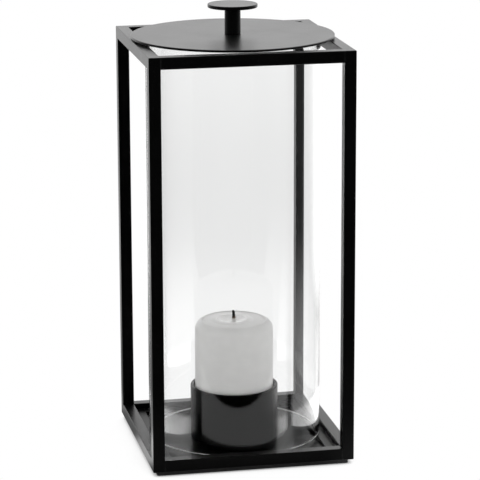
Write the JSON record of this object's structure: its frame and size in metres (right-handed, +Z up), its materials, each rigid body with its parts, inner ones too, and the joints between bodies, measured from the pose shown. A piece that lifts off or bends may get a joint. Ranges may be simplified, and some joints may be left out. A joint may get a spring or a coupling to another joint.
{
  "type": "hurricane lantern",
  "caption": "Square steel frame lantern with a lift-out glass cylinder, a candle cup with a pillar candle, and a round lid with a disc knob.",
  "frame": {"origin": "middle of the underside of the floor pad, on the surface that the lantern stands on", "axes": "+Z up, +X to the right, -Y towards the viewer; the frame is square, so front and sides are alike"},
  "size_m": [0.172, 0.172, 0.383],
  "materials": {
    "frame_coat": "fine-textured black powder coat, satin",
    "base_coat": "black powder coat, satin",
    "lid_coat": "fine-textured black powder coat, satin",
    "cup_coat": "black powder coat, satin",
    "pad_rubber": "matt closed-cell rubber",
    "clear_glass": "clear, fire-polished rims",
    "candle_wax": "off-white candle wax, soft sheen",
    "wick_cotton": "waxed cotton",
    "zinc_steel": "zinc-plated"
  },
  "bodies": {
    "frame": {"post_front_left": "frame_coat", "post_front_right": "frame_coat", "post_back_left": "frame_coat", "post_back_right": "frame_coat", "bottom_rail_front": "frame_coat", "bottom_rail_back": "frame_coat", "bottom_rail_left": "frame_coat", "bottom_rail_right": "frame_coat", "top_rail_front": "frame_coat", "top_rail_back": "frame_coat", "top_rail_left": "frame_coat", "top_rail_right": "frame_coat", "base_plate": "base_coat", "rest_strip_left": "base_coat", "rest_strip_right": "base_coat", "rest_strip_front": "base_coat", "rest_strip_back": "base_coat", "floor_pad": "pad_rubber", "candle_cup": "cup_coat", "cup_screw": "zinc_steel", "cup_nut": "zinc_steel"},
    "glass": {"glass_cylinder": "clear_glass"},
    "lid": {"lid_disc": "lid_coat", "knob_stem": "lid_coat", "knob_disc": "lid_coat", "knob_screw": "zinc_steel"},
    "candle": {"pillar_candle": "candle_wax", "wick": "wick_cotton"}
  },
  "joints": [
    {"name": "glass_lift", "type": "slide", "parent": "frame", "child": "glass", "axis": [0, 0, 1], "range_m": [0, 0.35]},
    {"name": "lid_lift", "type": "slide", "parent": "glass", "child": "lid", "axis": [0, 0, 1], "range_m": [0, 0.12]},
    {"name": "candle_lift", "type": "slide", "parent": "frame", "child": "candle", "axis": [0, 0, 1], "range_m": [0, 0.06]}
  ]
}
